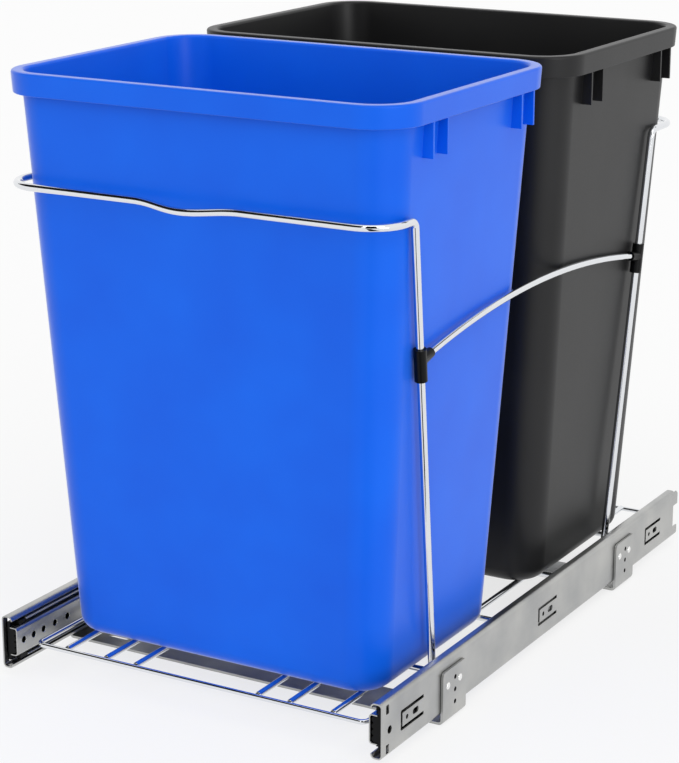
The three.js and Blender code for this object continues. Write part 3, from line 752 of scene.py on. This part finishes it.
# ---------------------------------------------------------------- wire base, hoops and braces
LENGTHWISE_Z = BIN["floor"] - FIT_GAP - CROSS_WIRE
CROSSWISE_Z = LENGTHWISE_Z - 2 * CROSS_WIRE - FIT_GAP
CROSSWISE_END = WEB_X - SLIDE_THICKNESS - FIT_GAP  # against the inner rails


def place_wire(name, points, radius, node, closed=False):
    piece = mesh_object(name, [wire(points, radius, closed)])
    shade(piece)
    seat(piece, node, "chrome_wire", CHROME)


def hoop_path(hoop):
    """Up one leg, round the end of a bin and down the other leg."""
    reach = math.copysign(1, hoop["run_y"])
    half_run = [
        (Vector((HOOP["foot_x"], hoop["foot_y"], HOOP["foot_z"])), 0),
        (Vector((HOOP["top_x"], hoop["top_y"], HOOP["top_z"])), HOOP["shoulder"]),
        (Vector((HOOP["top_x"], hoop["run_y"], HOOP["top_z"])), HOOP["corner"]),
    ]
    other_half = [(Vector((-p.x, p.y, p.z)), radius) for p, radius in reversed(half_run)]
    bow = []
    bow_steps, bend_steps = 28, 12
    for i in range(bow_steps + 1 if hoop["bow"] else 0):
        t = 1 - 2 * i / bow_steps
        lift = 0.5 + 0.5 * math.cos(math.pi * t)
        y = hoop["run_y"] + reach * BOW["depth"] * lift
        bow.append((Vector((t * BOW["half_chord"], y, HOOP["top_z"] - BOW["droop"] * lift)), 0))
    return rounded_path(half_run + bow + other_half, steps=bend_steps)


def on_leg(hoop, z, side):
    """Point of a hoop's leg at a height, on one side."""
    t = (z - HOOP["foot_z"]) / (HOOP["top_z"] - HOOP["foot_z"])
    x = HOOP["foot_x"] + (HOOP["top_x"] - HOOP["foot_x"]) * t
    return Vector((side * x, hoop["foot_y"] + (hoop["top_y"] - hoop["foot_y"]) * t, z))


def brace_point(y, side):
    """Point of the arched brace between the hoops."""
    t = (y - BRACE["middle_y"]) / BRACE["half_span"]
    return Vector((on_leg(HOOPS["front"], BRACE["z"], side).x, y, BRACE["z"] + BRACE["rise"] * (1 - t * t)))


def clip(hoop, side):
    """T-shaped moulding: a sleeve round the leg, a tapered boss for the brace's end and a web between."""
    bore_past = 4  # how far the bore for the brace runs out of the boss
    leg = on_leg(hoop, BRACE["z"], side)
    inward = math.copysign(1, BRACE["middle_y"] - leg.y)
    middle_z = BRACE["z"] - CLIP["drop"]
    half = CLIP["height"] / 2
    ends = [on_leg(hoop, middle_z + dz, side) for dz in (-half, half)]
    piece = mesh_object("clip", [rod(*ends, CLIP["radius"], CLIP["radius"])])
    root, tip = brace_point(leg.y, side), brace_point(leg.y + inward * CLIP["boss"], side)
    foot = on_leg(hoop, BRACE["z"] - CLIP_WEB["low"], side)
    web = [(root.y, root.z), (root.y + inward * CLIP_WEB["reach"], root.z), (foot.y, foot.z)]
    edges = (root.x - CLIP_WEB["half"], root.x + CLIP_WEB["half"])
    boss = rod(root, tip, CLIP["boss_root"], CLIP["boss_tip"])
    carve(piece, "UNION", [boss, prism(web, *edges, side_view)])
    past = brace_point(leg.y + inward * (CLIP["boss"] + bore_past), side)
    bore_ends = [on_leg(hoop, middle_z + dz, side) for dz in (-CLIP["height"], CLIP["height"])]
    leg_bore, brace_bore = HOOP_WIRE + FIT_GAP, BRACE_WIRE + FIT_GAP
    carve(piece, "DIFFERENCE", [rod(*bore_ends, leg_bore, leg_bore), rod(root, past, brace_bore, brace_bore)])
    return piece


def weld_beads():
    """Resistance-weld nuggets where the base's wires cross or meet the rails, and under the hoops' feet."""
    places = []
    contact_z = (LENGTHWISE_Z + CROSSWISE_Z) / 2
    for y in CROSSWISE_YS:
        places += [("crossing", (x, y, contact_z)) for x in (-BASE["x"], *LENGTHWISE_XS, BASE["x"])]
        places += [("inner_rail", (side * CROSSWISE_END, y, CROSSWISE_Z)) for side in SIDES.values()]
    end_z = LENGTHWISE_Z - NUGGET_DROPS["perimeter"]
    for x in LENGTHWISE_XS:
        for y, inward in ((BASE["front"], 1), (BASE["rear"], -1)):
            places.append(("perimeter", (x, y + inward * PERIMETER_WIRE, end_z)))
    foot_z = HOOP["foot_z"] - NUGGET_DROPS["hoop_foot"]
    for side in SIDES.values():
        for hoop in HOOPS.values():
            places.append(("hoop_foot", (side * HOOP["foot_x"], hoop["foot_y"], foot_z)))
    beads = [ellipsoid(Vector(place), NUGGETS[kind]) for kind, place in places]
    return mesh_object("base_weld_nuggets", beads)


def place_wires():
    corners = ((-1, "front"), (1, "front"), (1, "rear"), (-1, "rear"))
    perimeter = [(Vector((x * BASE["x"], BASE[y], BASE["z"])), BASE["corner"]) for x, y in corners]
    around = rounded_path(perimeter, True, 14)
    place_wire("base_perimeter_chromed", around, PERIMETER_WIRE, "base_perimeter_wire", True)
    into = 1.2  # how far a welded end sinks into the wire that it meets
    for i, x in enumerate(LENGTHWISE_XS):
        ends = (BASE["front"] + into, BASE["rear"] - into)
        points = [Vector((x, y, LENGTHWISE_Z)) for y in ends]
        place_wire(f"base_lengthwise_chromed_{i + 1}", points, CROSS_WIRE, f"base_lengthwise_wire_{i + 1}")
    for i, y in enumerate(CROSSWISE_YS):
        points = [Vector((x, y, CROSSWISE_Z)) for x in (-CROSSWISE_END, CROSSWISE_END)]
        place_wire(f"base_crosswise_chromed_{i + 1}", points, CROSS_WIRE, f"base_crosswise_wire_{i + 1}")
    for word, hoop in HOOPS.items():
        place_wire(f"{word}_hoop_chromed", hoop_path(hoop), HOOP_WIRE, f"{word}_hoop")
    beads = weld_beads()
    shade(beads)
    beads.data.materials.append(CHROME)
    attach(beads, BODY_OF["base_perimeter_wire"])
    short = HOOP_WIRE + 1  # the braces stop this far from the middles of the legs
    for word, side in SIDES.items():
        legs = [on_leg(hoop, BRACE["z"], side).y for hoop in HOOPS.values()]
        start, end = legs[0] + short, legs[1] - short
        steps = 40
        points = [brace_point(start + (end - start) * i / steps, side) for i in range(steps + 1)]
        place_wire(f"{word}_brace_chromed", points, BRACE_WIRE, f"{word}_brace_wire")
        for end_word, hoop in HOOPS.items():
            moulding = clip(hoop, side)
            moulding.name = f"{word}_{end_word}_clip_moulding"
            shade(moulding)
            ease_edges(moulding, EASE["clip"])
            seat(moulding, f"{word}_{end_word}_clip", "black_plastic", ACETAL)


# ---------------------------------------------------------------- bins
def wall_at(z):
    """Half sizes and corner radius of a bin's outer wall at a height above its floor."""
    t = z / (BIN["height"] - RIM["skirt"])
    return [BIN_BOTTOM[key] + (BIN_TOP[key] - BIN_BOTTOM[key]) * t for key in ("x", "y", "r")]


def bin_ring(offset, z, middle_y, steps=16):
    """A rounded rectangle round the bin, offset outward from its outer wall."""
    half_x, half_y, radius = (size + offset for size in wall_at(z))
    ring = []
    for start, (cx, cy) in enumerate(((1, 1), (-1, 1), (-1, -1), (1, -1))):
        for k in range(steps + 1):
            angle = (start + k / steps) * math.pi / 2
            x = cx * (half_x - radius) + radius * math.cos(angle)
            y = cy * (half_y - radius) + radius * math.sin(angle)
            ring.append(Vector((x, middle_y + y, BIN["floor"] + z)))
    return ring


def bin_shell(middle_y):
    """Floor, drafted walls and a rim turned over into a skirt; ribs under the rim join skirt and wall."""
    height, wall = BIN["height"], BIN["wall"]
    out, skirt, sheet = RIM["overhang"], RIM["skirt"], RIM["sheet"]
    fold, (hem_inside, hem_outside) = RIM["fold"], RIM["hem"]
    floor_inset = 14
    section = rounded_outline(
        [
            (-floor_inset, 0, 0),
            (0, 0, BIN["edge"]),
            (0, height - sheet, fold),
            (out - sheet, height - sheet, fold),
            (out - sheet, height - skirt, hem_inside),
            (out, height - skirt, hem_outside),
            (out, height, RIM["round"]),
            (-wall, height, RIM["round"]),
            (-wall, wall, BIN["edge"] - wall),
            (-floor_inset, wall, 0),
        ],
        closed=False,
    )
    shell = mesh_object("bin", [through_rings([bin_ring(offset, z, middle_y) for offset, z in section])])
    low, high = height - RIB["drop"], height - sheet / 2
    outer = wall_at(height)[0] + out - RIB["inset"]
    ribs = []
    for side in SIDES.values():
        outline = [
            (side * (wall_at(low)[0] - wall / 2), low),
            (side * outer, low),
            (side * outer, high),
            (side * (wall_at(high)[0] - wall / 2), high),
        ]
        for y in RIB["ys"]:
            edges = (middle_y + y - RIB["sheet"] / 2, middle_y + y + RIB["sheet"] / 2)
            ribs.append(prism(outline, *edges, lambda a, b, d: Vector((a, d, BIN["floor"] + b))))
    carve(shell, "UNION", ribs)
    return shell


def place_bins():
    bins = (("blue", "blue_polypropylene", BLUE_PP), ("black", "black_polypropylene", BLACK_PP))
    for word, slot, finish in bins:
        low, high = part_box(f"{word}_bin")
        shell = bin_shell((low.y + high.y) / 2 / MM)
        shell.name = f"{word}_bin_moulding"
        shade(shell)
        ease_edges(shell, EASE["bin"])
        seat(shell, f"{word}_bin", slot, finish)


# ---------------------------------------------------------------- floor, light and camera
SUNS = (  # name, strength, width in degrees, direction that it shines from
    ("soft_key", 0.5, 50, (0.45, -0.6, 0.95)),
    ("side_strip", 0.75, 24, (0.9, -0.42, 0.12)),
)
# Name, then the angles that each card spans: round from the front toward the right, and up from the floor
BLACK_CARDS = (
    ("card_front_left", (-90, 5), (22, 62)),
    ("card_front_right", (16, 44), (8, 60)),
    ("card_behind_right", (142, 160), (36, 50)),
)
FLOOR_CARD = ((0.2, -0.36), (0.36, -0.36), (1.45, -2.6), (0.9, -2.6))  # corners x, y in metres
CAMERA = {"azimuth": 30.16, "elevation": 16.14, "lens": 109.1, "sensor": 36, "place": (917.7, -1622.9, 738.9)}


def seen_rays(tree):
    """One for rays that show the background, directly or in metal, and nought for the rest."""
    rays = add_node(tree, "ShaderNodeLightPath", {}).outputs
    seen = rays["Is Camera Ray"]
    for kind in ("Is Glossy Ray", "Is Transmission Ray"):
        seen = add_node(tree, "ShaderNodeMath", {"operation": "MAXIMUM", 0: seen, 1: rays[kind]}).outputs[0]
    return seen


def place_floor():
    """White studio floor that runs past the view and keeps a soft share of the unit's shadow."""
    half = 15  # metres
    shadow_kept = 0.24
    mesh = bpy.data.meshes.new("studio_floor")
    corners = [(x, y, 0) for x, y in box_outline((-half, half), (-half, half))]
    mesh.from_pydata(corners, [], [(0, 1, 2, 3)])
    floor = bpy.data.objects.new("studio_floor", mesh)
    bpy.context.scene.collection.objects.link(floor)
    material = bpy.data.materials.new("white_studio_floor")
    material.use_nodes = True
    tree = material.node_tree
    tree.nodes.remove(tree.nodes["Principled BSDF"])
    paint = add_node(tree, "ShaderNodeBsdfDiffuse", {"Color": (0.93, 0.93, 0.93, 1)})
    white = add_node(tree, "ShaderNodeEmission", {"Color": (1, 1, 1, 1), "Strength": 1})
    unshaded = {"operation": "MULTIPLY", 0: seen_rays(tree), 1: 1 - shadow_kept}
    share = add_node(tree, "ShaderNodeMath", unshaded).outputs[0]
    both = add_node(tree, "ShaderNodeMixShader", {0: share, 1: paint.outputs[0], 2: white.outputs[0]})
    tree.links.new(both.outputs[0], tree.nodes["Material Output"].inputs["Surface"])
    mesh.materials.append(material)


def place_light():
    """An even white surround, a broad soft sun from the front right and a low one on the right side."""
    surround = 0.8  # strength of the light it gives; it looks pure white itself
    world = bpy.data.worlds.new("white_surround")
    bpy.context.scene.world = world
    world.use_nodes = True
    tree = world.node_tree
    strength = spread(tree, seen_rays(tree), surround, 1)
    back = tree.nodes["Background"]
    back.inputs["Color"].default_value = (1, 1, 1, 1)
    tree.links.new(strength, back.inputs["Strength"])
    for name, energy, width, toward in SUNS:
        lamp = bpy.data.lights.new(name, "SUN")
        lamp.energy = energy
        lamp.angle = math.radians(width)
        sun = bpy.data.objects.new(name, lamp)
        sun.rotation_euler = Vector(toward).to_track_quat("Z", "Y").to_euler()
        bpy.context.scene.collection.objects.link(sun)


def place_black_cards():
    """Black cards round the set, seen in shiny surfaces alone: they draw dark streaks along the chrome."""
    material = bpy.data.materials.new("black_card")
    material.use_nodes = True
    tree = material.node_tree
    tree.nodes.remove(tree.nodes["Principled BSDF"])
    black = add_node(tree, "ShaderNodeEmission", {"Color": (0.01, 0.01, 0.01, 1), "Strength": 1})
    tree.links.new(black.outputs[0], tree.nodes["Material Output"].inputs["Surface"])
    away = 4  # metres from the unit
    columns, rows = 8, 8
    above_floor = 0.002
    cards = [("card_on_floor", [(x, y, above_floor) for x, y in FLOOR_CARD], [(0, 1, 2, 3)])]
    for name, (left, right), (low, high) in BLACK_CARDS:
        points = []
        for i in range(columns + 1):
            turn = math.radians(left + (right - left) * i / columns)
            for k in range(rows + 1):
                rise = math.radians(low + (high - low) * k / rows)
                level = away * math.cos(rise)
                points.append((level * math.sin(turn), -level * math.cos(turn), away * math.sin(rise)))
        row = rows + 1
        starts = [i * row + k for i in range(columns) for k in range(rows)]
        cards.append((name, points, [(at, at + row, at + row + 1, at + 1) for at in starts]))
    for name, points, faces in cards:
        mesh = bpy.data.meshes.new(name)
        mesh.from_pydata(points, [], faces)
        mesh.materials.append(material)
        card = bpy.data.objects.new(name, mesh)
        bpy.context.scene.collection.objects.link(card)
        card.visible_camera = False
        card.visible_diffuse = False
        card.visible_shadow = False
        card.visible_transmission = False


def place_camera():
    """The photograph's view; its angles, place and lens were found from the unit's straight edges."""
    azimuth, elevation = math.radians(CAMERA["azimuth"]), math.radians(CAMERA["elevation"])
    lens = bpy.data.cameras.new("photo_view")
    lens.lens = CAMERA["lens"]
    lens.sensor_fit = "VERTICAL"
    lens.sensor_height = CAMERA["sensor"]
    camera = bpy.data.objects.new("photo_view", lens)
    forward = Vector(
        (
            -math.sin(azimuth) * math.cos(elevation),
            math.cos(azimuth) * math.cos(elevation),
            -math.sin(elevation),
        )
    )
    right = Vector((math.cos(azimuth), math.sin(azimuth), 0))
    turn = Matrix((right, right.cross(forward), -forward)).transposed()
    camera.matrix_world = Matrix.Translation(Vector(CAMERA["place"]) * MM) @ turn.to_4x4()
    bpy.context.scene.collection.objects.link(camera)
    bpy.context.scene.camera = camera


place_slides()
place_cross_plates()
place_wires()
place_bins()
place_floor()
place_light()
place_black_cards()
place_camera()
bpy.context.scene.view_settings.view_transform = "Standard"
